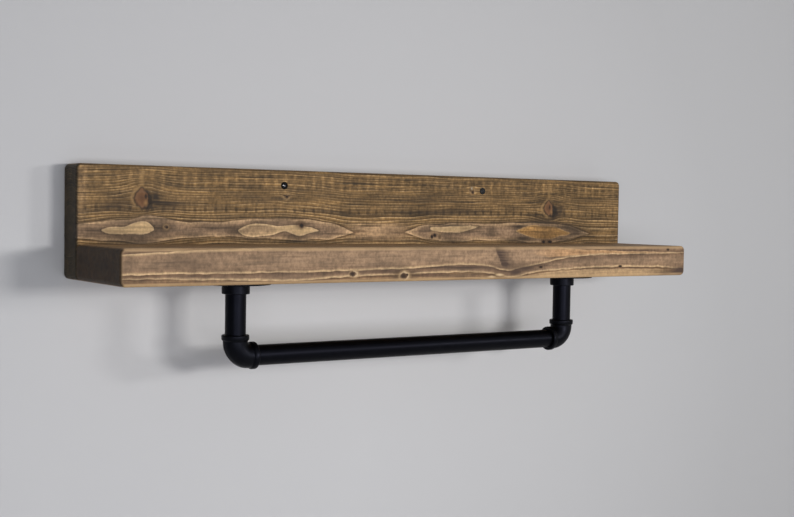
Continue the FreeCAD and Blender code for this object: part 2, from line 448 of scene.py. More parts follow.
# planed pine wiped with a brown stain: the soft early wood drinks it and goes dark, the hard late
# wood stays pale, so the face shows pale loops and islands on grey brown, and fine lines beside them
def stainedPine(wood, keys):
    look, finish = wood["look"], pineFinish
    material, tree = newMaterial(wood["material"])
    place = placeMm(tree)
    own = {key: addNode(tree, "ShaderNodeAttribute", {"attribute_name": key}, output="Fac") for key in keys}
    noise = noiseFields(tree, place, woodNoise)

    shifted = addNode(tree, "ShaderNodeMath", {"operation": "MULTIPLY_ADD", 1: look["waver"]},
                      {0: noise["waver"], 2: own["rings"]})
    turn = addNode(tree, "ShaderNodeMath", {"operation": "FRACT"}, {0: shifted})
    year = addNode(tree, "ShaderNodeMath", {"operation": "FLOOR"}, {0: shifted})
    yearTone = addNode(tree, "ShaderNodeTexWhiteNoise", {"noise_dimensions": "1D"}, {"W": year}, "Value")
    yearGain = addNode(tree, "ShaderNodeMapRange", {"To Min": 1 - look["year"], "To Max": 1 + look["year"]},
                       {0: yearTone})
    ringTone = addNode(tree, "ShaderNodeValToRGB",
                       {"stops": [(p, linear(h)) for p, h in look["rings"]]}, {0: turn})
    # the first rings beside the loops stay whole
    broken = addNode(tree, "ShaderNodeMapRange", finish["broken"], {0: noise["broken"]})
    whole = addNode(tree, "ShaderNodeMapRange", finish["whole"], {0: own["rings"]})
    broken = addNode(tree, "ShaderNodeMath", {"operation": "MAXIMUM"}, {0: broken, 1: whole})
    colour = addNode(tree, "ShaderNodeMix", {"data_type": "RGBA", 6: linear(look["between"])},
                     {0: broken, 7: ringTone}, 2)
    colour = addNode(tree, "ShaderNodeVectorMath", {"operation": "SCALE"}, {0: colour, "Scale": yearGain})

    loops = [key for key in ("outerLoop", "innerLoop") if key in own]
    for key in loops + ["islands"]:
        moved = addNode(tree, "ShaderNodeMath", {"operation": "MULTIPLY_ADD", 1: look["wobble"]},
                        {0: noise["wobble"], 2: own[key]})
        own[key] = addNode(tree, "ShaderNodeMath",
                           {"operation": "SUBTRACT", 1: look["wobble"] / 2}, {0: moved})
    # wide late wood where one ring lies level with the face, then the grey brown heart between the loops
    within = addNode(tree, "ShaderNodeMapRange",
                     {**softStep, "From Min": -look["soft"], "From Max": look["soft"]},
                     {0: own["outerLoop"]})
    for cover, tone in ((own["pale"], look["pale"]), (within, look["heart"])):
        cover = addNode(tree, "ShaderNodeMath", {"operation": "MULTIPLY"}, {0: cover, 1: own["front"]})
        colour = addNode(tree, "ShaderNodeMix", {"data_type": "RGBA", 7: linear(tone)},
                         {0: cover, 6: colour}, 2)
    fade = addNode(tree, "ShaderNodeMapRange", {**noiseSpan, "To Min": look["faintest"]}, {0: noise["fade"]})
    fade = addNode(tree, "ShaderNodeMath", {"operation": "MULTIPLY"}, {0: fade, 1: own["front"]})
    for key in loops:
        colour = loopLayer(tree, colour, own[key], fade, look["loopStops"])
    inIsland = addNode(tree, "ShaderNodeMapRange", finish["inIsland"], {0: own["islands"]})
    for key in ("fill", "front"):
        inIsland = addNode(tree, "ShaderNodeMath", {"operation": "MULTIPLY"}, {0: inIsland, 1: own[key]})
    islandTone = addNode(tree, "ShaderNodeMix", {"data_type": "RGBA", 6: linear(look["island"]),
                                                 7: linear(look["amber"])}, {0: own["amber"]}, 2)
    colour = addNode(tree, "ShaderNodeMix", {"data_type": "RGBA"}, {0: inIsland, 6: colour, 7: islandTone}, 2)
    rimFade = addNode(tree, "ShaderNodeMapRange", finish["amberRim"], {0: own["amber"]})
    rimFade = addNode(tree, "ShaderNodeMath", {"operation": "MULTIPLY"}, {0: rimFade, 1: fade})
    colour = loopLayer(tree, colour, own["islands"], rimFade, look["islandStops"])

    # fibres, pores, fuzz, blotches and roller marks, which the hard wood of the islands takes less of
    gains = {}
    for key in ("fibre", "fuzz", "blotch"):
        ends = {"To Min": 1 - look[key], "To Max": 1 + look[key], "clamp": False}
        gains[key] = addNode(tree, "ShaderNodeMapRange", {**noiseSpan, **ends}, {0: noise[key]})
    streak = addNode(tree, "ShaderNodeMapRange", {**finish["streak"], "To Max": 1 - look["streak"]},
                     {0: noise["streak"]})
    gain = addNode(tree, "ShaderNodeMath", {"operation": "MULTIPLY_ADD"},
                   {0: gains["fibre"], 1: own["shade"], 2: gains["fibre"]})
    for factor in [streak, gains["fuzz"], gains["blotch"]] + rollerMarks(tree, place, own["front"], wood):
        gain = addNode(tree, "ShaderNodeMath", {"operation": "MULTIPLY"}, {0: gain, 1: factor})
    hard = addNode(tree, "ShaderNodeMapRange", {"To Min": look["calm"], "To Max": 0.0}, {0: own["amber"]})
    calm = addNode(tree, "ShaderNodeMath", {"operation": "MULTIPLY"}, {0: inIsland, 1: hard})
    gain = addNode(tree, "ShaderNodeMix", {"data_type": "FLOAT", 3: 1.0}, {0: calm, 2: gain})
    colour = addNode(tree, "ShaderNodeVectorMath", {"operation": "SCALE"}, {0: colour, "Scale": gain})

    # stain that pooled beside the knots is greyer, breaks up along the fibres and spares the islands
    pooled = addNode(tree, "ShaderNodeMapRange", finish["pooled"], {0: noise["streak"]})
    pooled = addNode(tree, "ShaderNodeMath", {"operation": "MULTIPLY", "use_clamp": True},
                     {0: pooled, 1: own["grey"]})
    softWood = addNode(tree, "ShaderNodeMath", {"operation": "SUBTRACT", 0: 1.0, "use_clamp": True},
                       {1: inIsland})
    pooled = addNode(tree, "ShaderNodeMath", {"operation": "MULTIPLY"}, {0: pooled, 1: softWood})
    colour = addNode(tree, "ShaderNodeMix", {"data_type": "RGBA", 7: linear(look["smudge"])},
                     {0: pooled, 6: colour}, 2)
    for knot in wood["knots"]:
        for layer in knot["layers"]:
            colour = knotLayer(tree, colour, place, knot, layer, wood["bottom"])

    # along the eased edges, in patches: a painted shade on the back board, a painted highlight and stain
    # sanded thin on the shelf; end grain drinks the most stain
    rubbed = addNode(tree, "ShaderNodeMapRange", {**softStep, "From Min": look["edgeShadingReach"],
                                                  "From Max": look["edgeShadingFull"], "To Max": look["rub"]},
                     {0: own["rub"]})
    rubbed = addNode(tree, "ShaderNodeMath", {"operation": "MULTIPLY"}, {0: rubbed, 1: fade})
    colour = addNode(tree, "ShaderNodeMix", {"data_type": "RGBA", 7: linear(look["rubbed"])},
                     {0: rubbed, 6: colour}, 2)
    endTone = addNode(tree, "ShaderNodeVectorMath",
                      {"operation": "MULTIPLY", 1: look["endTint"]}, {0: colour})
    colour = addNode(tree, "ShaderNodeMix", {"data_type": "RGBA"},
                     {0: own["endGrain"], 6: colour, 7: endTone}, 2)

    rough = addNode(tree, "ShaderNodeMapRange", finish["rough"], {0: noise["fibre"]})
    raised = addNode(tree, "ShaderNodeMath", {"operation": "MULTIPLY_ADD", 1: finish["ringRelief"]},
                     {0: turn, 2: noise["fibre"]})
    bump = addNode(tree, "ShaderNodeBump", finish["bump"], {"Height": raised})
    shader = addNode(tree, "ShaderNodeBsdfPrincipled", {"Specular IOR Level": finish["gloss"]},
                     {"Base Color": colour, "Roughness": rough, "Normal": bump})
    addNode(tree, "ShaderNodeOutputMaterial", None, {0: shader})
    return material


# colours a loop's edge: stops are mm from the edge, positive inside, with a colour and how much it covers
def loopLayer(tree, colour, reach, fade, stops):
    first, last = stops[0][0], stops[-1][0]
    along = addNode(tree, "ShaderNodeMapRange", {"From Min": first, "From Max": last}, {0: reach})
    spread = [((d - first) / (last - first), linear(h, a)) for d, h, a in stops]
    ramp = addNode(tree, "ShaderNodeValToRGB", {"stops": spread}, {0: along}, None)
    cover = addNode(tree, "ShaderNodeMath", {"operation": "MULTIPLY"}, {0: ramp["Alpha"], 1: fade})
    return addNode(tree, "ShaderNodeMix", {"data_type": "RGBA"}, {0: cover, 6: colour, 7: ramp["Color"]}, 2)


# dents of the planer's feed rollers: rows of dark dashes between pale bars, and a row of ticks
def rollerMarks(tree, place, front, wood):
    rollers = wood["rollers"]
    if not rollers:
        return []
    noise = noiseFields(tree, place, rollerNoise)
    patch = addNode(tree, "ShaderNodeMapRange", rollers["patch"], {0: noise["patch"]})
    patch = addNode(tree, "ShaderNodeMath", {"operation": "MULTIPLY"}, {0: patch, 1: front})
    part = addNode(tree, "ShaderNodeSeparateXYZ", None, {0: place}, None)
    along = addNode(tree, "ShaderNodeMath", {"operation": "MULTIPLY_ADD", 1: rollers["stray"]},
                    {0: noise["jitter"], 2: part[0]})
    phase = addNode(tree, "ShaderNodeMath", {"operation": "MULTIPLY_ADD", 1: 2 * math.pi / rollers["pitch"],
                                             2: rollers["start"]}, {0: along})
    wave = addNode(tree, "ShaderNodeMath", {"operation": "COSINE"}, {0: phase})
    gains = []
    for height, tall, waveFrom, waveTo, strength in rollers["rows"]:
        off = addNode(tree, "ShaderNodeMath", {"operation": "SUBTRACT", 1: wood["bottom"] + height},
                      {0: part[2]})
        off = addNode(tree, "ShaderNodeMath", {"operation": "ABSOLUTE"}, {0: off})
        mark = patch
        for start, full, field in ((tall, tall * rollers["core"], off), (waveFrom, waveTo, wave)):
            step = addNode(tree, "ShaderNodeMapRange",
                           {**softStep, "From Min": start, "From Max": full}, {0: field})
            mark = addNode(tree, "ShaderNodeMath", {"operation": "MULTIPLY"}, {0: mark, 1: step})
        gains.append(addNode(tree, "ShaderNodeMapRange", {"To Min": 1.0, "To Max": 1 - strength}, {0: mark}))
    return gains


# one layer of a knot: an almond whose stops run from its middle to its rim and fade by their cover
def knotLayer(tree, colour, place, knot, layer, bottom):
    shiftX, shiftZ, wide, tall, stops = layer
    centre = (-knot["x"] - shiftX, 0, -knot["z"] - shiftZ - bottom)
    near = addNode(tree, "ShaderNodeVectorMath", {"operation": "ADD", 1: centre}, {0: place})
    near = addNode(tree, "ShaderNodeVectorMath",
                   {"operation": "MULTIPLY", 1: (1 / wide, 0, 1 / tall)}, {0: near})
    frayed = addNode(tree, "ShaderNodeTexNoise", {"Scale": knot["ragged"], "Detail": 3.0},
                     {"Vector": near}, "Fac")
    level = addNode(tree, "ShaderNodeVectorMath", {"operation": "ABSOLUTE"}, {0: near})
    straight = addNode(tree, "ShaderNodeVectorMath",
                       {"operation": "DOT_PRODUCT", 1: (knot["point"], 0, knot["point"])},
                       {0: level}, "Value")
    curved = addNode(tree, "ShaderNodeVectorMath", {"operation": "LENGTH"}, {0: near}, "Value")
    far = addNode(tree, "ShaderNodeMath", {"operation": "MULTIPLY_ADD", 1: 1 - knot["point"]},
                  {0: curved, 2: straight})
    far = addNode(tree, "ShaderNodeMath", {"operation": "MULTIPLY_ADD", 1: knot["fray"]}, {0: frayed, 2: far})
    far = addNode(tree, "ShaderNodeMath", {"operation": "SUBTRACT", 1: knot["fray"] / 2}, {0: far})
    ramp = addNode(tree, "ShaderNodeValToRGB", {"stops": [(p, linear(h, a)) for p, h, a in stops]},
                   {0: far}, None)
    return addNode(tree, "ShaderNodeMix", {"data_type": "RGBA"},
                   {0: ramp["Alpha"], 6: colour, 7: ramp["Color"]}, 2)


# tones of a knot from its middle outwards: how far, colour, how much it covers
paleRim = [(0.0, "947349", 0), (0.5, "947349", 0), (0.72, "A08056", 0.65), (0.86, "98784E", 0.3),
           (1.0, "8E6F48", 0)]
darkBody = [(0.0, "1C140D", 1), (0.62, "20170F", 0.95), (0.8, "2A1F16", 0.7), (1.0, "3A2C20", 0)]
redBody = [(0.0, "5C3E28", 1), (0.35, "6E4C31", 1), (0.56, "7A573A", 1), (0.66, "62452E", 0.95),
           (0.76, "2C1F15", 0.8), (0.84, "33251A", 0.35), (0.92, "3A2B1D", 0)]
lowGlow = [(0.0, "9C784E", 0.85), (0.5, "8E6B45", 0.6), (1.0, "7A5A3A", 0)]
crack = [(0.0, "1E130C", 1), (0.4, "281A11", 0.9), (1.0, "3E2A1C", 0)]
streakTop = [(0.0, "9C7C50", 0.6), (0.4, "94764C", 0.45), (1.0, "8C6E48", 0)]
smallBody = [(0.0, "160E08", 1), (0.38, "22170E", 1), (0.55, "4A3322", 0.85), (0.72, "5A4230", 0.4),
             (0.9, "5A4230", 0)]
smallRim = [(0.0, "B4946A", 0), (0.35, "B4946A", 0), (0.55, "B4946A", 0.45), (0.75, "A78860", 0.2),
            (1.0, "A78860", 0)]
ringedRim = [(0.0, "D4B892", 0), (0.3, "D4B892", 0), (0.5, "D4B892", 0.9), (0.7, "BC9E76", 0.5),
             (1.0, "B4956C", 0)]
brownBody = [(0.0, "2E1E12", 1), (0.4, "38271A", 1), (0.6, "4A3322", 0.85), (0.85, "5A4230", 0)]
paleStreak = [(0.0, "DCC29C", 0.95), (0.5, "D0B48C", 0.7), (1.0, "B4956C", 0)]
paleFleck = [(0.0, "C2B8A8", 0.8), (0.5, "B0A48E", 0.5), (1.0, "A09078", 0)]
brownHalo = [(0.0, "4C3724", 0.85), (0.6, "54402C", 0.55), (1.0, "54402C", 0)]

# how pointed and frayed a knot is, how far the rings bow round it, and how deep it is sunk in mm
plainKnot = {"point": 0.12, "fray": 0.3, "ragged": 1.7, "sunk": 0.1}
tinyKnot = {**plainKnot, "bow": 0.2, "bowWide": 8, "bowTall": 4}
raggedKnot = {**plainKnot, "fray": 0.6, "ragged": 2.6}
bigKnot = {"point": 0.4, "fray": 0.5, "ragged": 2.3, "bow": 0.7, "bowWide": 26, "bowTall": 20,
           "sunk": 0.3}

# heights are in mm above the board's bottom; look has colours, and how strongly each noise field shows
backWood = {
    "material": "stained pine, olive brown", "seed": 7,
    "face": backLow[1], "bottom": backLow[2], "heartDepth": 25.0, "ringWidth": 3.2, "waver": 0.6,
    "lineWaver": 0.8, "steps": (2.5, 3.0, 2.0),
    "outerLoop": [(-490, 52, 68), (-454, 52, 70), (-391, 47.5, 77), (-370, 46, 80), (-356, 47, 81),
                  (-330, 50.5, 76), (-305, 53.5, 73), (-274, 55, 74), (-240, 54, 76), (-211, 52.5, 78),
                  (-178, 51.5, 80), (-150, 50.5, 79), (-110, 50.5, 76), (-90, 52, 72.5),
                  (-72, 55.5, 67.5), (-58, 61, 61.5), (-12, 65, 58), (33, 61, 61.5), (50, 57, 67.5),
                  (72, 52, 72), (100, 49.5, 73.5), (135, 49, 74), (197, 50.5, 75), (244, 49, 76),
                  (300, 45, 77), (340, 50, 74), (370, 56, 67), (391, 61.2, 61.8), (405, 64.5, 58.5),
                  (420, 65.5, 57.5), (457, 66.5, 56.5), (490, 67, 56)],
    "innerLoop": None,
    "islands": [
        {"rows": [(-424, 62, 64), (-418, 58, 66), (-405, 57, 66), (-395, 57.5, 66), (-388, 58, 70),
                  (-382, 58, 74), (-370, 56.5, 75.5), (-361, 57.5, 73.5), (-355, 63, 66)],
         "fill": [(-424, 1), (-355, 1)], "amber": 0.0},
        {"rows": [(-236, 62, 63), (-230, 56.5, 68.5), (-215, 54, 71), (-195, 54.5, 71.5), (-183, 57, 70),
                  (-176, 60.5, 68), (-166, 62, 68.5), (-155, 59, 71), (-143, 55, 71.5), (-133, 56.5, 69),
                  (-120, 60, 67), (-111, 63, 63.5)],
         "fill": [(-185, 0.3), (-175, 0.95)], "amber": 0.0},
        {"rows": [(77, 64, 68), (84, 62, 70), (100, 62, 70.5), (120, 61.5, 71), (135, 62, 71.5),
                  (150, 65, 71), (168, 69, 70)],
         "fill": [(77, 0.95), (125, 0.9), (150, 0.5)], "amber": 0.0},
        {"rows": [(239, 63, 65), (248, 60.5, 68.6), (258, 58, 71.8), (270, 54, 72.6), (279, 51.2, 72.8),
                  (293, 50.6, 72.4), (305, 51.6, 73.2), (314, 51.4, 73), (323, 54, 72), (332, 56.2, 69),
                  (341, 57, 66.2), (348, 58.6, 63.8), (354, 60.4, 61.6)],
         "fill": [(239, 0.95), (300, 0.85), (354, 0.95)], "amber": 1.0},
    ],
    "knots": [
        {**bigKnot, "x": -370, "z": 103,
         "layers": [(-1, 24, 4.5, 24, streakTop), (-3, 1, 17, 19, paleRim),
                    (5, -2.5, 11.5, 16.5, darkBody), (-1.5, 0, 13.5, 18.5, redBody),
                    (4, -6, 4.5, 6.5, lowGlow), (4, 2.5, 2.8, 5.5, crack)]},
        {**bigKnot, "x": 306, "z": 98.5,
         "layers": [(-1, 25, 4, 24, streakTop), (-4, 1, 16, 17, paleRim), (8, -4, 13, 14, darkBody),
                    (-1, 1, 13, 16.5, redBody), (5, -5, 3.5, 7, lowGlow), (1.5, 3, 2.4, 6, crack)]},
        {**raggedKnot, "x": -163, "z": 109, "bow": 0.5, "bowWide": 9, "bowTall": 6,
         "layers": [(0, 0, 9, 6, smallRim), (0.5, 0, 3.6, 3, smallBody), (-3, 1.5, 4.5, 1.4, crack),
                    (3.5, 1.2, 3.5, 1.3, crack)]},
        {**raggedKnot, "x": 154, "z": 124, "bow": 0.5, "bowWide": 10, "bowTall": 8,
         "layers": [(0, 0, 9, 7, smallRim), (-4, 1, 3, 3.4, brownHalo), (1, -2.5, 3.8, 4, brownBody),
                    (-1, 3.5, 2.4, 3.4, paleFleck)]},
        {**raggedKnot, "x": -338, "z": 67, "bow": 0.3, "bowWide": 9, "bowTall": 7,
         "layers": [(0, 0, 9, 7, brownHalo), (0, 0, 6.5, 5.5, smallRim), (1, -0.5, 3, 2.6, smallBody)]},
        {**plainKnot, "x": -141, "z": 70, "bow": 0.3, "bowWide": 9, "bowTall": 7,
         "layers": [(1, 1, 12, 8, brownHalo), (2, 0, 6, 5.5, smallBody)]},
        {**plainKnot, "x": 86, "z": 57, "bow": 0.4, "bowWide": 12, "bowTall": 8,
         "layers": [(0, 0, 15, 9, smallRim), (-5, -2, 4, 5, smallBody), (0, 0, 5, 4.5, smallBody),
                    (9, -2, 4, 5, brownHalo)]},
        {**plainKnot, "x": 303, "z": 48, "fray": 0.5, "bow": 0.3, "bowWide": 14, "bowTall": 7,
         "layers": [(-2, 0, 15, 7, brownHalo), (-7, -1, 6, 5, smallBody), (6, -1, 8, 5, smallBody)]},
    ],
    "shades": [(-372, 128, 9, 16, 0.12), (306, 126, 9, 16, 0.12), (-30, 109, 120, 6, -0.2),
               (60, 106, 90, 5, -0.12), (-448, 100, 14, 36, 0.12), (-205, 128, 50, 8, 0.1),
               (-330, 106, 30, 5, 0.16), (400, 70, 60, 12, -0.16), (-12, 62, 44, 10, 0.55),
               (-290, 57, 90, 5, 0.3), (-130, 54, 80, 5, 0.25), (140, 55, 60, 5, 0.35),
               (215, 62, 26, 10, 0.25), (-60, 86, 60, 4, 0.12), (250, 118, 60, 9, 0.08),
               (330, 110, 130, 34, -0.26), (60, 116, 150, 30, -0.1), (190, 118, 20, 14, 0.12),
               (350, 122, 30, 5, -0.15), (282, 69, 36, 5, 0.42), (306, 54, 34, 6, -0.3)],
    "smudges": [(-407, 94, 24, 8.5, 1.3), (-341, 96, 25, 9, 0.95), (-353, 106, 6, 11, 0.8),
                (-343, 66, 17, 8.5, 0.7), (-385, 51, 40, 5, 0.55), (-440, 62, 18, 7, 0.5),
                (-242, 62, 12, 8, 0.7), (60, 92, 62, 6, 0.5), (125, 93, 40, 6, 0.6), (329, 96, 9, 9, 1.0),
                (290, 82, 46, 5, 0.7), (365, 62, 17, 8, 0.85), (60, 109, 70, 4, 0.6), (20, 61, 7, 3, 0.4),
                (192, 64, 9, 8, 0.6), (-205, 107, 30, 6, 0.4), (66, 64, 10, 5, 0.5),
                (-100, 89, 40, 4, 0.4), (-20, 86, 30, 4, 0.4), (110, 53, 30, 3, 0.3),
                (245, 70, 16, 6, 0.9), (254, 52, 20, 6.5, 0.9), (296, 75.5, 44, 3, 0.7),
                (342, 70, 22, 4.5, 0.8), (334, 50, 20, 5, 0.8)],
    "slants": [],
    "paleSpots": [(-12, 61.5, 56, 12, 0.9), (-452, 110, 9, 40, 0.25), (145, 57, 26, 3, 0.5),
                  (190, 52.5, 34, 2.5, 0.5), (225, 64, 22, 9, 0.35)],
    # rows: height, half height, where a mark starts and is full on the wave along x, strength
    "rollers": {"pitch": 14.8, "start": 0.4, "stray": 2.5, "core": 0.4,
                "patch": {"From Min": 0.32, "From Max": 0.62, "To Min": 0.35},
                "rows": [(136, 3.6, 0.9, -0.5, 0.42), (129, 3.6, 0.9, -0.5, 0.46),
                         (122, 3.4, 0.9, -0.5, 0.36), (90, 4.8, 0.3, 0.9, 0.6), (97, 5.0, 0.5, 1.0, 0.25),
                         (128, 16, 0.7, 1.0, -0.24)]},
    "look": {"rings": [(0.0, "3C2817"), (0.12, "5A4428"), (0.4, "7A5E38"), (0.66, "8A6D46"),
                       (0.86, "B6976C"), (0.95, "A08258"), (1.0, "46311C")],
             "between": "7B603C", "wobble": 1.8, "pale": "9C7F60", "heart": "886F57", "soft": 1.0,
             "faintest": 0.5,
             "loopStops": [(-3.5, "463321", 0), (-1.4, "463321", 0.65), (-0.4, "402E1D", 0.9),
                           (0.4, "C8A67E", 1), (1.6, "BE9D76", 0.85), (4.5, "9C7E5E", 0.45),
                           (10, "84694E", 0)],
             "islandStops": [(-6, "4A3A2A", 0), (-1.6, "4A3A2A", 0.55), (-0.3, "463626", 0.8),
                             (0.4, "D2B388", 0.95), (1.8, "C8A980", 0.85), (3.2, "B4956C", 0)],
             "island": "C8A97D", "amber": "9E7744", "smudge": "33281E", "calm": 0.42,
             "waver": 0.7, "fibre": 0.37, "streak": 0.5, "fuzz": 0.34, "blotch": 0.36, "year": 0.22,
             # along its eased edges this board gets a painted shade of dark brown
             "edgeShadingReach": 3.0, "edgeShadingFull": 1.0, "rub": 0.6, "rubbed": "463524",
             "endTint": (0.19, 0.225, 0.28)},
}

shelfWood = {
    "material": "stained pine, pinkish tan", "seed": 19,
    "face": shelfLow[1], "bottom": shelfLow[2], "heartDepth": 60.0, "ringWidth": 2.7, "waver": 0.3,
    "lineWaver": 0.45, "steps": (2.5, 3.0, 1.5),
    "outerLoop": [(-490, 9.5, 60), (-454, 9, 60), (-400, 8, 60), (-343, 7, 60), (-256, 4, 60),
                  (-210, 4, 60), (-156, 7.5, 60), (-120, 8.7, 60), (-89, 9.3, 60), (-40, 10, 60),
                  (27, 11, 60), (60, 10.5, 60), (83, 8, 60), (95, 5, 60), (106, 2.5, 60), (114, 2, 60),
                  (135, 6, 60), (161, 10, 60), (230, 13, 60), (320, 15, 60), (400, 13, 60), (455, 10, 60),
                  (490, 8, 60)],
    "innerLoop": [(-490, 14, 36), (-454, 14, 38), (-399, 14, 41), (-343, 14, 42.5), (-286, 14.5, 44),
                  (-210, 14, 49), (-163, 15.3, 52), (-113, 16, 54), (-74, 17, 54), (-38, 18, 54),
                  (0, 20, 54), (27, 21, 54), (71, 19, 54), (85, 16.5, 54), (97, 12.5, 54),
                  (108, 11.5, 54), (120, 13, 54), (129, 15, 54), (150, 18.5, 53), (169, 21, 50),
                  (192, 25, 46), (221, 29, 42), (250, 31, 40), (293, 33, 38.5), (340, 33.3, 37.5),
                  (424, 34, 36), (490, 34.5, 35)],
    "islands": [
        {"rows": [(150, 34, 50), (180, 29.5, 48), (210, 30, 44), (240, 32, 41.5), (280, 34, 39.5),
                  (340, 34, 38), (424, 34.5, 36.5)],
         "fill": [(150, 0), (200, 0.75), (300, 0.85), (424, 0.5)], "amber": 1.0},
        {"rows": [(118, -6, 2), (150, -6, 7), (200, -6, 11), (260, -6, 12.5), (330, -6, 13),
                  (400, -6, 11), (445, -6, 7)],
         "fill": [(118, 0.3), (160, 0.6), (380, 0.6), (440, 0)], "amber": 0.0},
    ],
    "knots": [
        {**plainKnot, "x": -146, "z": 11, "fray": 0.55, "ragged": 2.4, "bow": 0.3, "bowWide": 9,
         "bowTall": 6, "layers": [(2, 0, 10, 6.5, ringedRim), (-0.5, 0, 6.5, 5, brownBody)]},
        {**plainKnot, "x": -67, "z": 6.8, "fray": 0.4, "ragged": 2.2, "bow": 0.4, "bowWide": 14,
         "bowTall": 8, "sunk": 0.25,
         "layers": [(0, 1, 26, 11, brownHalo), (1, 0.5, 12, 9.5, ringedRim), (-1, 0, 7.5, 6.4, brownBody),
                    (5, 2, 3, 2.4, brownBody)]},
        {**tinyKnot, "x": 167, "z": 16, "layers": [(0, 0, 6, 3, smallBody)]},
        {**tinyKnot, "x": 321, "z": 15.3, "layers": [(0, 0, 6, 3, smallBody)]},
        {**tinyKnot, "x": 420, "z": 40, "layers": [(0, 0, 5, 4, smallBody)]},
        {**plainKnot, "x": 88, "z": 4, "fray": 0.4, "bow": 0.2, "bowWide": 12, "bowTall": 5,
         "layers": [(-2, 0.5, 22, 6, brownHalo), (-9, -0.6, 9, 2.6, paleStreak),
                    (5, 2.2, 10, 2.6, paleStreak)]},
    ],
    "shades": [(-380, 22, 90, 6, -0.1), (250, 27, 60, 4, -0.15), (440, 14, 30, 12, -0.2),
               (120, 36, 50, 8, 0.1), (30, 34, 60, 12, 0.14), (-60, 26, 60, 5, 0.1),
               (340, 22, 70, 6, -0.1), (-360, 34, 30, 6, -0.12)],
    "slants": [(84, 42, 96, 19, 21, 1.15)],
    "paleSpots": [(20, 33, 60, 12, 0.4), (140, 33, 36, 9, 0.3), (-60, 24, 60, 5, 0.3)],
    "smudges": [(103, 19, 5, 4, 0.6), (40, 16.6, 54, 3.2, 1.1), (425, 3, 30, 3, 0.8),
                (449, 7, 13, 6, 0.9), (20, 6.5, 60, 1.6, 0.9), (121, 9.8, 10, 4.2, 1.3),
                (139, 13.8, 14, 3.6, 1.2), (160, 19, 14, 2.4, 0.5), (-370, 26, 40, 7, 0.3),
                (445, 8, 22, 7, 0.6), (380, 43, 60, 2.5, 0.5), (-380, 10.5, 90, 2.0, 0.45),
                (-110, 13, 60, 1.8, 0.8), (300, 29, 80, 2.0, 0.45), (300, 12.6, 90, 1.4, 0.3),
                (-75, 3, 16, 3, 0.5)],
    "rollers": None,
    "look": {"rings": [(0.0, "6B4F3A"), (0.12, "80624A"), (0.4, "93744F"), (0.7, "A0815E"),
                       (0.88, "B4936A"), (0.95, "AA8A62"), (1.0, "6E523C")],
             "between": "93754F", "wobble": 1.6, "pale": "B4956E", "heart": "93785E", "soft": 1.0,
             "faintest": 0.55,
             "loopStops": [(-7, "5A4231", 0), (-2.2, "5A4231", 0.75), (-0.5, "503929", 0.95),
                           (0.4, "D4B48A", 1), (1.4, "CAAA80", 0.85), (3.4, "7E634C", 0.5),
                           (10, "8C7056", 0)],
             "islandStops": [(-6, "584736", 0), (2.6, "A88A63", 0)],
             "island": "BC9D76", "amber": "BA9066", "smudge": "4A392F", "calm": 0.3,
             "waver": 0.3, "fibre": 0.2, "streak": 0.26, "fuzz": 0.28, "blotch": 0.3, "year": 0.08,
             # along its eased edges this board gets a painted highlight, partly stain sanded thin
             "edgeShadingReach": 5.5, "edgeShadingFull": 2.5, "rub": 0.75, "rubbed": "C0A078",
             "endTint": (0.125, 0.115, 0.105)},
}

# sizes in mm, as the solids have them: heads, threads and the room left round them;
# core is a part of the shank, the recess of the head, and the shoulder of the thread's length
screws = {"rim": 0.5, "room": 0.3, "pitch": 2.4, "sides": 32, "turnSteps": 18, "sharp": 35, "sunk": 0.5,
          "core": 0.92, "shoulder": 0.02, "recessSpan": 1.1, "recessWide": 0.26, "recessDeep": 0.4,
          "wall": {"head": 5.0, "shank": 1.8, "thread": 2.5, "plain": 45.0, "length": 90.0, "tip": 5.0},
          "joining": {"head": 5.75, "shank": 2.1, "thread": 3.0, "plain": 44.5, "length": 99.5, "tip": 6.0},
          "flange": {"head": 4.25, "shank": 1.6, "thread": 2.25, "plain": 10.0, "length": 40.0, "tip": 4.5}}


# middles of the screw heads, from the loose triangles of a CAD node
def headPlaces(node, axis, side, spread):
    points = pointsMm(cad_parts[node].data)
    level = points[:, axis].min() if side < 0 else points[:, axis].max()
    top = points[np.abs(points[:, axis] - level) < 0.05]
    found = []
    for p in top:
        group = next((g for g in found if np.linalg.norm(p - g[0]) < spread), None)
        if group is None:
            found.append([p])
        else:
            group.append(p)
    return [(np.max(g, axis=0) + np.min(g, axis=0)) / 2 for g in found]


wallHeads = headPlaces("wall_screws", 1, -1, 40)
joiningHeads = headPlaces("joining_screws", 1, 1, 40)
print("wall screws at", np.round(wallHeads, 1).tolist())
print("joining screws at", np.round(joiningHeads, 1).tolist())


# holes through the back board for both kinds of screw, open above their heads
def boardHoles():
    holes = []
    through = backHigh[1] - backLow[1] + 2
    for size, heads, aim, sunk in ((screws["wall"], wallHeads, 1, 0.0),
                                   (screws["joining"], joiningHeads, -1, screws["sunk"])):
        head, neck = size["head"] + screws["room"], size["thread"] + screws["room"]
        cone = sunk + screws["rim"]
        profile = [(head, -1), (head, cone), (neck, cone + head - neck), (neck, through)]
        holes += [((p[0], p[1] - aim * sunk, p[2]), (0, aim, 0), profile) for p in heads]
    return holes


makeBoard("back_board_stained", "back_board", backLow, backHigh, backWood, boardHoles())
makeBoard("shelf_board_stained", "shelf_board", shelfLow, shelfHigh, shelfWood, [])


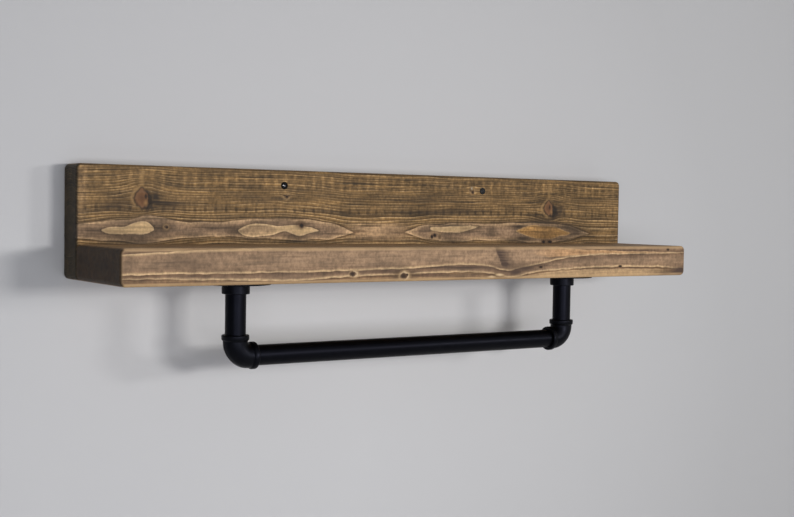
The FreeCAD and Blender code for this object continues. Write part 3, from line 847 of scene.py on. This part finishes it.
# steel and iron, bare or painted: a cloudy tone, a slightly uneven sheen and the grain of the surface
def metalFinish(look):
    material, tree = newMaterial(look["material"])
    noise = noiseFields(tree, placeMm(tree), {key: ((look[key],) * 3, 3, 0.5) for key in ("grain", "cloud")})
    stops = [(noiseSpan["From Min"], linear(look["dark"])), (noiseSpan["From Max"], linear(look["light"]))]
    tone = addNode(tree, "ShaderNodeValToRGB", {"stops": stops}, {0: noise["cloud"]})
    sheen = {"To Min": look["rough"] - 0.04, "To Max": look["rough"] + 0.05}
    rough = addNode(tree, "ShaderNodeMapRange", {**noiseSpan, **sheen}, {0: noise["cloud"]})
    bump = addNode(tree, "ShaderNodeBump", {"Strength": look["bump"], "Distance": 0.0002},
                   {"Height": noise["grain"]})
    shader = addNode(tree, "ShaderNodeBsdfPrincipled",
                     {"Metallic": look["metal"], "Specular IOR Level": look["gloss"],
                      "Specular Tint": linear(look["glint"])},
                     {"Base Color": tone, "Roughness": rough, "Normal": bump})
    addNode(tree, "ShaderNodeOutputMaterial", None, {0: shader})
    return material


# grain and clouds are in mm, the grain coarser than the real one so that it shows
plainPaint = {"grain": 0.8, "bump": 0.05, "glint": "FFFFFF", "metal": 0}
bareMetal = {**plainPaint, "gloss": 0.5, "metal": 1}
# satin paint over drawn steel: near black, with a soft slightly blue highlight along the pipe
pipePaint = metalFinish({**plainPaint, "material": "satin black paint on steel pipe", "grain": 1.2,
                         "cloud": 14, "dark": "020203", "light": "040405", "rough": 0.37, "gloss": 0.085,
                         "glint": "D0D6FF"})
# the same paint over sand-cast iron: a little duller and pebbled
castPaint = metalFinish({**plainPaint, "material": "satin black paint on cast iron", "grain": 1.6, "cloud": 9,
                         "dark": "020203", "light": "050506", "rough": 0.4, "bump": 0.2, "gloss": 0.1,
                         "glint": "D6DCFF"})
# phosphated screws: flat black with a dull edge
screwBlack = metalFinish({**plainPaint, "material": "black phosphated steel", "cloud": 3, "dark": "030304",
                          "light": "050506", "rough": 0.22, "gloss": 0.05})
# zinc plate: pale grey metal with a faint yellow
screwZinc = metalFinish({**bareMetal, "material": "zinc plated steel", "cloud": 4, "dark": "A8A496",
                         "light": "BEBAAA", "rough": 0.34})
# recess of a screw head, rubbed to bare steel in places by the driver
recessSteel = metalFinish({**bareMetal, "material": "steel rubbed by the driver", "cloud": 1.6,
                           "dark": "2A2A2C", "light": "B4B4B8", "rough": 0.3})


# moves a shape of a geometry tree straight down
def lowered(tree, shape, depth):
    down = addNode(tree, "ShaderNodeMath", {"operation": "MULTIPLY", 1: -1.0}, {0: depth})
    drop = addNode(tree, "ShaderNodeCombineXYZ", None, {2: down})
    return addNode(tree, "GeometryNodeTransform", None, {0: shape, "Translation": drop})


# one countersunk screw, head up at the origin, set at each point with its own spin
def screwTree():
    sizes = ["Head Radius", "Rim", "Shank Radius", "Plain Length", "Thread Radius", "Core Radius", "Shoulder",
             "Length", "Tip", "Pitch", "Recess Span", "Recess Width", "Recess Depth"]
    inputs = [(label, "NodeSocketFloat") for label in sizes]
    inputs += [("Outward", "NodeSocketVector"), ("Seed", "NodeSocketInt"), ("Material", "NodeSocketMaterial"),
               ("Recess Material", "NodeSocketMaterial")]
    tree, given = geometryTree("countersunk screws", inputs)
    size = {label: given[label] for label in sizes}
    # what follows from the sizes, each row from those above it
    for key, operation, first, second in (("taper", "SUBTRACT", "Head Radius", "Shank Radius"),
                                          ("neck", "ADD", "taper", "Rim"),
                                          ("straight", "SUBTRACT", "Plain Length", "neck"),
                                          ("shoulderEnd", "ADD", "Plain Length", "Shoulder"),
                                          ("threadEnd", "SUBTRACT", "Length", "Tip"),
                                          ("threadLong", "SUBTRACT", "threadEnd", "shoulderEnd"),
                                          ("turns", "DIVIDE", "threadLong", "Pitch"),
                                          ("ridge", "SUBTRACT", "Thread Radius", "Core Radius"),
                                          ("recessTall", "ADD", "Recess Depth", "Recess Depth")):
        size[key] = addNode(tree, "ShaderNodeMath", {"operation": operation},
                            {0: size[first], 1: size[second]})
    # stacked rings from the head down: depth of the foot, height, lower and upper radius
    stack = (("Rim", "Rim", "Head Radius", "Head Radius"), ("neck", "taper", "Shank Radius", "Head Radius"),
             ("Plain Length", "straight", "Shank Radius", "Shank Radius"),
             ("shoulderEnd", "Shoulder", "Core Radius", "Shank Radius"),
             ("threadEnd", "threadLong", "Core Radius", "Core Radius"),
             ("Length", "Tip", None, "Core Radius"))
    sides = screws["sides"]
    parts = [addNode(tree, "GeometryNodeMeshCircle", {"fill_type": "NGON", "Vertices": sides},
                     {"Radius": size["Head Radius"]})]
    for foot, height, lower, upper in stack:
        links = {"Depth": size[height], "Radius Top": size[upper]}
        if lower:
            links["Radius Bottom"] = size[lower]
        ring = addNode(tree, "GeometryNodeMeshCone",
                       {"fill_type": "NONE", "Vertices": sides, "Radius Bottom": 0.0},
                       links)
        parts.append(lowered(tree, ring, size[foot]))
    body = addNode(tree, "GeometryNodeJoinGeometry", None, {0: parts})
    body = addNode(tree, "GeometryNodeMergeByDistance", {"Distance": 2e-6}, {0: body})
    body = addNode(tree, "GeometryNodeSetMaterial", None, {0: body, "Material": given["Material"]})
    # driver recess: a cross sunk into the head
    bars = []
    for along, across in ((0, 1), (1, 0)):
        block = addNode(tree, "ShaderNodeCombineXYZ", None,
                        {along: size["Recess Span"], across: size["Recess Width"], 2: size["recessTall"]})
        bar = addNode(tree, "GeometryNodeMeshCube", None, {"Size": block})
        bars.append(addNode(tree, "GeometryNodeSetMaterial", None,
                            {0: bar, "Material": given["Recess Material"]}))
    body = addNode(tree, "GeometryNodeMeshBoolean", {"operation": "DIFFERENCE", "solver": "EXACT"},
                   {"Mesh 1": body, "Mesh 2": bars})
    # thread ridge wound on the core
    spiral = addNode(tree, "GeometryNodeCurveSpiral", {"Resolution": screws["turnSteps"]},
                     {"Rotations": size["turns"], "Start Radius": size["Core Radius"],
                      "End Radius": size["Core Radius"], "Height": size["threadLong"]})
    profile = addNode(tree, "GeometryNodeCurvePrimitiveCircle", {"Resolution": 4}, {"Radius": size["ridge"]})
    thread = addNode(tree, "GeometryNodeCurveToMesh", {"Fill Caps": True},
                     {"Curve": spiral, "Profile Curve": profile})
    thread = lowered(tree, thread, size["threadEnd"])
    thread = addNode(tree, "GeometryNodeSetMaterial", None, {0: thread, "Material": given["Material"]})
    screw = addNode(tree, "GeometryNodeJoinGeometry", None, {0: [body, thread]})
    spin = addNode(tree, "FunctionNodeRandomValue", {"data_type": "FLOAT", 3: math.pi},
                   {"Seed": given["Seed"]}, 1)
    spin = addNode(tree, "FunctionNodeAxisAngleToRotation", {"Axis": (0, 0, 1)}, {"Angle": spin})
    aim = addNode(tree, "FunctionNodeAlignRotationToVector", {"axis": "Z"}, {"Vector": given["Outward"]})
    aim = addNode(tree, "FunctionNodeRotateRotation", {"rotation_space": "LOCAL"},
                  {"Rotation": aim, "Rotate By": spin})
    placed = addNode(tree, "GeometryNodeInstanceOnPoints", None,
                     {"Points": given["Geometry"], "Instance": screw, "Rotation": aim})
    real = addNode(tree, "GeometryNodeRealizeInstances", None, {0: placed})
    addNode(tree, "NodeGroupOutput", None, {0: real})
    return tree


screwMaker = screwTree()


def makeScrews(name, node, size, heads, outward, seed, material):
    piece = meshObject(name, np.array(heads) * mm, [])
    threaded = size["length"] - size["tip"] - size["plain"]
    lengths = {"Head Radius": size["head"], "Rim": screws["rim"], "Shank Radius": size["shank"],
               "Plain Length": size["plain"], "Thread Radius": size["thread"],
               "Core Radius": size["shank"] * screws["core"], "Shoulder": threaded * screws["shoulder"],
               "Length": size["length"], "Tip": size["tip"], "Pitch": screws["pitch"],
               "Recess Span": size["head"] * screws["recessSpan"],
               "Recess Width": size["head"] * screws["recessWide"],
               "Recess Depth": size["head"] * screws["recessDeep"]}
    values = {key: value * mm for key, value in lengths.items()}
    runTree(piece, screwMaker, {**values, "Outward": outward, "Seed": seed, "Material": material,
                                "Recess Material": recessSteel})
    attach(piece, node, screws["sharp"])


makeScrews("wall_screws_black", "wall_screws", screws["wall"], wallHeads,
           (0, -1, 0), 3, screwBlack)
makeScrews("joining_screws_zinc", "joining_screws", screws["joining"], joiningHeads,
           (0, 1, 0), 5, screwZinc)
for side in ("left", "right"):
    makeScrews(side + "_flange_screws_black", side + "_flange_screws", screws["flange"],
               headPlaces(side + "_flange_screws", 2, -1, 9), (0, 0, -1), 8, screwBlack)

# banded elbow in mm: body, band, socket, bore and seam are radii, reach runs from its centre to each mouth,
# seat to the pipe's end, boreOut past the mouth, and seamLap is how far the seam runs into a band
elbowShape = {"body": 15.8, "band": 17.7, "bandLong": 7.0, "bandRound": 1.5, "fillet": 1.44, "socket": 13.5,
              "bore": 10.75, "bend": 18.6, "reach": 27.6, "seat": 16.6, "boreBend": 16.1, "boreOut": 1.0,
              "ledge": 0.02, "seam": 0.32, "seamLap": 0.4, "steps": 22, "roundSteps": 6, "filletSteps": 8,
              "sides": 56, "sharp": 40}


# sweeps a round section of changing girth along each path, then hollows the body with the bore
def fittingTree():
    tree, given = geometryTree("banded fitting",
                               [("Sides", "NodeSocketInt"), ("Material", "NodeSocketMaterial")])
    kind, girth = [addNode(tree, "GeometryNodeInputNamedAttribute", {"data_type": "FLOAT", "Name": label})
                   for label in ("kind", "girth")]
    section = addNode(tree, "GeometryNodeCurvePrimitiveCircle", {"Radius": 1.0},
                      {"Resolution": given["Sides"]})
    swept = []
    for number in (0.0, 1.0, 2.0):
        mine = addNode(tree, "FunctionNodeCompare", {"data_type": "FLOAT", "operation": "EQUAL", 1: number,
                                                     "Epsilon": 0.1}, {0: kind})
        path = addNode(tree, "GeometryNodeSeparateGeometry", {"domain": "POINT"},
                       {0: given["Geometry"], "Selection": mine})
        curve = addNode(tree, "GeometryNodeMeshToCurve", None, {0: path})
        swept.append(addNode(tree, "GeometryNodeCurveToMesh", {"Fill Caps": True},
                             {"Curve": curve, "Profile Curve": section, "Scale": girth}))
    hollow = addNode(tree, "GeometryNodeMeshBoolean", {"operation": "DIFFERENCE", "solver": "EXACT"},
                     {"Mesh 1": swept[0], "Mesh 2": [swept[1]]})
    both = addNode(tree, "GeometryNodeJoinGeometry", None, {0: [hollow, swept[2]]})
    real = addNode(tree, "GeometryNodeRealizeInstances", None, {0: both})
    dressed = addNode(tree, "GeometryNodeSetMaterial", None, {0: real, "Material": given["Material"]})
    addNode(tree, "NodeGroupOutput", None, {0: dressed})
    return tree


fittingMaker = fittingTree()


# path in the bend's plane: run from the upper mouth, round the bend and out of the side mouth
def bendPath(runs, bend, steps, offset):
    out = [(offset, z) for z in runs]
    r = bend - offset
    for k in range(steps + 1):
        a = math.pi / 2 * k / steps
        out.append((bend - r * math.cos(a), bend - r * math.sin(a)))
    return out + [(z, offset) for z in reversed(runs)]


# girth along the elbow's outside: rounded band, then a soft fillet down to the body
def outsideRuns(e):
    r, end = e["bandRound"], e["reach"] - e["bandLong"]
    rows = []
    for k in range(e["roundSteps"] + 1):
        a = math.pi / 2 * k / e["roundSteps"]
        rows.append((e["reach"] - r * (1 - math.cos(a)), e["band"] - r * (1 - math.sin(a))))
    for k in range(1, e["filletSteps"] + 1):
        t = k / e["filletSteps"]
        rows.append((end + e["fillet"] * (1 - 2 * t), e["band"] + (e["body"] - e["band"]) * smooth(t, 0, 1)))
    return rows


def makeElbow(name, node, corner, side):
    e = elbowShape
    steps = e["steps"]
    boreRuns = [(e["reach"] + e["boreOut"], e["socket"]), (e["seat"] + e["ledge"], e["socket"]),
                (e["seat"], e["bore"])]
    # mould seam round the outside of the bend, between the bands
    seamRuns = [(e["reach"] - e["bandLong"] + e["seamLap"], e["seam"])]
    sweeps = ((outsideRuns(e), e["bend"], 0.0, e["body"]), (boreRuns, e["boreBend"], 0.0, e["bore"]),
              (seamRuns, e["bend"], -e["body"], e["seam"]))
    verts, edges, kinds, girths = [], [], [], []
    for kind, (rows, bend, offset, girth) in enumerate(sweeps):
        path = bendPath([z for z, g in rows], bend, steps, offset)
        ends = [g for z, g in rows]
        first = len(verts)
        verts += [((corner[0] + side * a) * mm, corner[1] * mm, (corner[2] + b) * mm) for a, b in path]
        edges += [(first + k, first + k + 1) for k in range(len(path) - 1)]
        kinds += [kind] * len(path)
        girths += [g * mm for g in ends + [girth] * (steps + 1) + ends[::-1]]
    piece = meshObject(name, verts, [], edges)
    storeValues(piece.data, "kind", kinds)
    storeValues(piece.data, "girth", girths)
    runTree(piece, fittingMaker, {"Sides": e["sides"], "Material": castPaint})
    attach(piece, node, e["sharp"])


barLow, barHigh = boxMm("towel_bar")
for name, side in (("left", 1), ("right", -1)):
    legLow, legHigh = boxMm(name + "_drop_pipe")
    elbowCorner = ((legLow[0] + legHigh[0]) / 2, (legLow[1] + legHigh[1]) / 2, (barLow[2] + barHigh[2]) / 2)
    makeElbow(name + "_elbow_cast", name + "_elbow", elbowCorner, side)

# the flanges, drop pipes and bar are shown as the solids are, with paint
for ending, paint in (("_flange", castPaint), ("_pipe", pipePaint), ("_bar", pipePaint)):
    for nodeName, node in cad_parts.items():
        if nodeName.endswith(ending):
            node.data.materials.clear()
            node.data.materials.append(paint)
            print(nodeName, "painted")

# sizes in m; the wall has a painted pool of light: its tone falls off from near to far of a middle, down to
# least
stageLook = {"wall": "D0D1D4", "floor": "B4B4B2", "floorLevel": -1.05, "floorGlow": 0.75, "wallGap": 0.0006,
             "lap": 0.006, "reach": 40.0, "top": 6.0,
             "paintedFalloff": {"middle": (-0.25, 0, -0.3), "near": 0.25, "far": 1.05, "least": 0.84}}


# one for what the eye sees, straight or mirrored or through glass, and nought for light on other things
def seenRay(tree):
    kinds = addNode(tree, "ShaderNodeLightPath", output=None)
    seen = kinds["Is Camera Ray"]
    for label in ("Is Glossy Ray", "Is Transmission Ray"):
        seen = addNode(tree, "ShaderNodeMath", {"operation": "MAXIMUM"}, {0: seen, 1: kinds[label]})
    return seen


# plain matt paint, dimmed on the wall away from a middle as a painted pool of light; a wall is clear when
# seen from behind, so that the back can be looked at, and the floor has a glow of its own for the eye alone,
# since the lamps are aimed at the wall
def stagePaint(name, hexText, clearBehind, glow, paintedFalloff):
    material, tree = newMaterial(name)
    tint, links = linear(hexText), {}
    if paintedFalloff:
        # painted light: the wall's colour is brightest round the middle and dims with distance from it
        coords = addNode(tree, "ShaderNodeTexCoord", output="Object")
        far = addNode(tree, "ShaderNodeVectorMath", {"operation": "DISTANCE", 1: paintedFalloff["middle"]},
                      {0: coords}, "Value")
        tone = addNode(tree, "ShaderNodeMapRange", {"From Min": paintedFalloff["near"], "From Max": paintedFalloff["far"],
                                                    "To Min": 1.0, "To Max": paintedFalloff["least"]}, {0: far})
        links["Color"] = addNode(tree, "ShaderNodeVectorMath", {"operation": "SCALE", 0: tint[:3]},
                                 {"Scale": tone})
    surface = addNode(tree, "ShaderNodeBsdfDiffuse", {"Color": tint}, links)
    if glow:
        strength = addNode(tree, "ShaderNodeMath", {"operation": "MULTIPLY", 1: glow}, {0: seenRay(tree)})
        shine = addNode(tree, "ShaderNodeEmission", {"Color": tint}, {"Strength": strength})
        surface = addNode(tree, "ShaderNodeAddShader", None, {0: surface, 1: shine})
    if clearBehind:
        behind = addNode(tree, "ShaderNodeNewGeometry", output="Backfacing")
        clear = addNode(tree, "ShaderNodeBsdfTransparent")
        surface = addNode(tree, "ShaderNodeMixShader", None, {0: behind, 1: surface, 2: clear})
    addNode(tree, "ShaderNodeOutputMaterial", None, {0: surface})
    return material


# the wall is open behind the back board, a little inside the board's outline
def makeStage(s):
    out, low, top, gap = s["reach"], s["floorLevel"], s["top"], s["wallGap"]
    x, z = backHigh[0] * mm - s["lap"], backHigh[2] * mm - s["lap"]
    corners = [(-out, gap, low), (out, gap, low), (out, gap, top), (-out, gap, top),
               (-x, gap, -z), (x, gap, -z), (x, gap, z), (-x, gap, z)]
    sides = [(k, (k + 1) % 4, 4 + (k + 1) % 4, 4 + k) for k in range(4)]
    wall = meshObject("wall", corners, sides)
    wall.data.materials.append(stagePaint("pale grey wall paint", s["wall"], True, 0, s["paintedFalloff"]))
    ground = [(-out, -out, low), (out, -out, low), (out, out, low), (-out, out, low)]
    floor = meshObject("floor", ground, [(0, 1, 2, 3)])
    floor.data.materials.append(stagePaint("pale floor", s["floor"], False, s["floorGlow"], None))
    print("wall and floor made")


makeStage(stageLook)

# place and target in m, width, height, watts, tint
lamps = {
    "key in front": ((0.41, -2.29, 0.11), (0.1, 0, 0), 0.5, 0.20, 19, "FFFCF8"),
    "side light": ((1.99, -2.50, 0.34), (-0.3, 0, 0), 0.45, 0.24, 15, "FFFCF8"),
    "wide strip": ((-1.0, -2.6, -0.25), (-0.6, 0, -0.1), 2.6, 0.5, 23, "FAFAFF"),
    "fill from behind": ((0.6, 2.6, 0.9), (0, 0, 0), 2.4, 2.0, 60, "FFFFFF"),
}
for name, (place, target, width, height, power, hexText) in lamps.items():
    data = bpy.data.lights.new(name, "AREA")
    data.shape = "RECTANGLE"
    data.size, data.size_y = width, height
    data.energy = power
    data.color = linear(hexText)[:3]
    lamp = link(bpy.data.objects.new(name, data))
    lamp.location = place
    lamp.rotation_mode = "QUATERNION"
    lamp.rotation_quaternion = (Vector(target) - Vector(place)).to_track_quat("-Z", "Y")

# the room's soft light, seen as a paler backdrop where nothing stands in front of it
roomLook = {"tint": "F2F4F8", "light": 0.21, "shown": 0.62}
world = bpy.data.worlds.new("soft room")
world.use_nodes = True
room = world.node_tree
room.nodes.clear()
level = addNode(room, "ShaderNodeMapRange", {"To Min": roomLook["light"], "To Max": roomLook["shown"]},
                {0: seenRay(room)})
sky = addNode(room, "ShaderNodeBackground", {"Color": linear(roomLook["tint"])}, {"Strength": level})
addNode(room, "ShaderNodeOutputWorld", None, {0: sky})
bpy.context.scene.world = world
print(len(lamps), "lamps and the room's light set")

# the photograph's viewpoint: place and sensor in mm, turn to the right, tip and roll in radians
viewpoint = {"focalPixels": 1254.37, "imageWidth": 794, "sensor": 36.0, "place": (-993.49, -1542.2, 20.25),
             "yaw": 0.59484, "pitch": -0.0383, "roll": 0.01569}


def makeCamera(v):
    data = bpy.data.cameras.new("camera")
    data.sensor_width = v["sensor"]
    data.lens = v["focalPixels"] / v["imageWidth"] * v["sensor"]
    camera = link(bpy.data.objects.new("camera", data))
    level = math.cos(v["pitch"])
    ahead = Vector((math.sin(v["yaw"]) * level, math.cos(v["yaw"]) * level, math.sin(v["pitch"])))
    right = Vector((math.cos(v["yaw"]), -math.sin(v["yaw"]), 0))
    up = right.cross(ahead)
    c, s = math.cos(v["roll"]), math.sin(v["roll"])
    side, top = right * c + up * s, up * c - right * s
    turn = Matrix((side, top, -ahead)).transposed().to_4x4()
    camera.matrix_world = Matrix.Translation(Vector(v["place"]) * mm) @ turn
    return camera


bpy.context.scene.camera = makeCamera(viewpoint)
bpy.context.scene.view_settings.view_transform = "Standard"

bpy.context.view_layer.update()
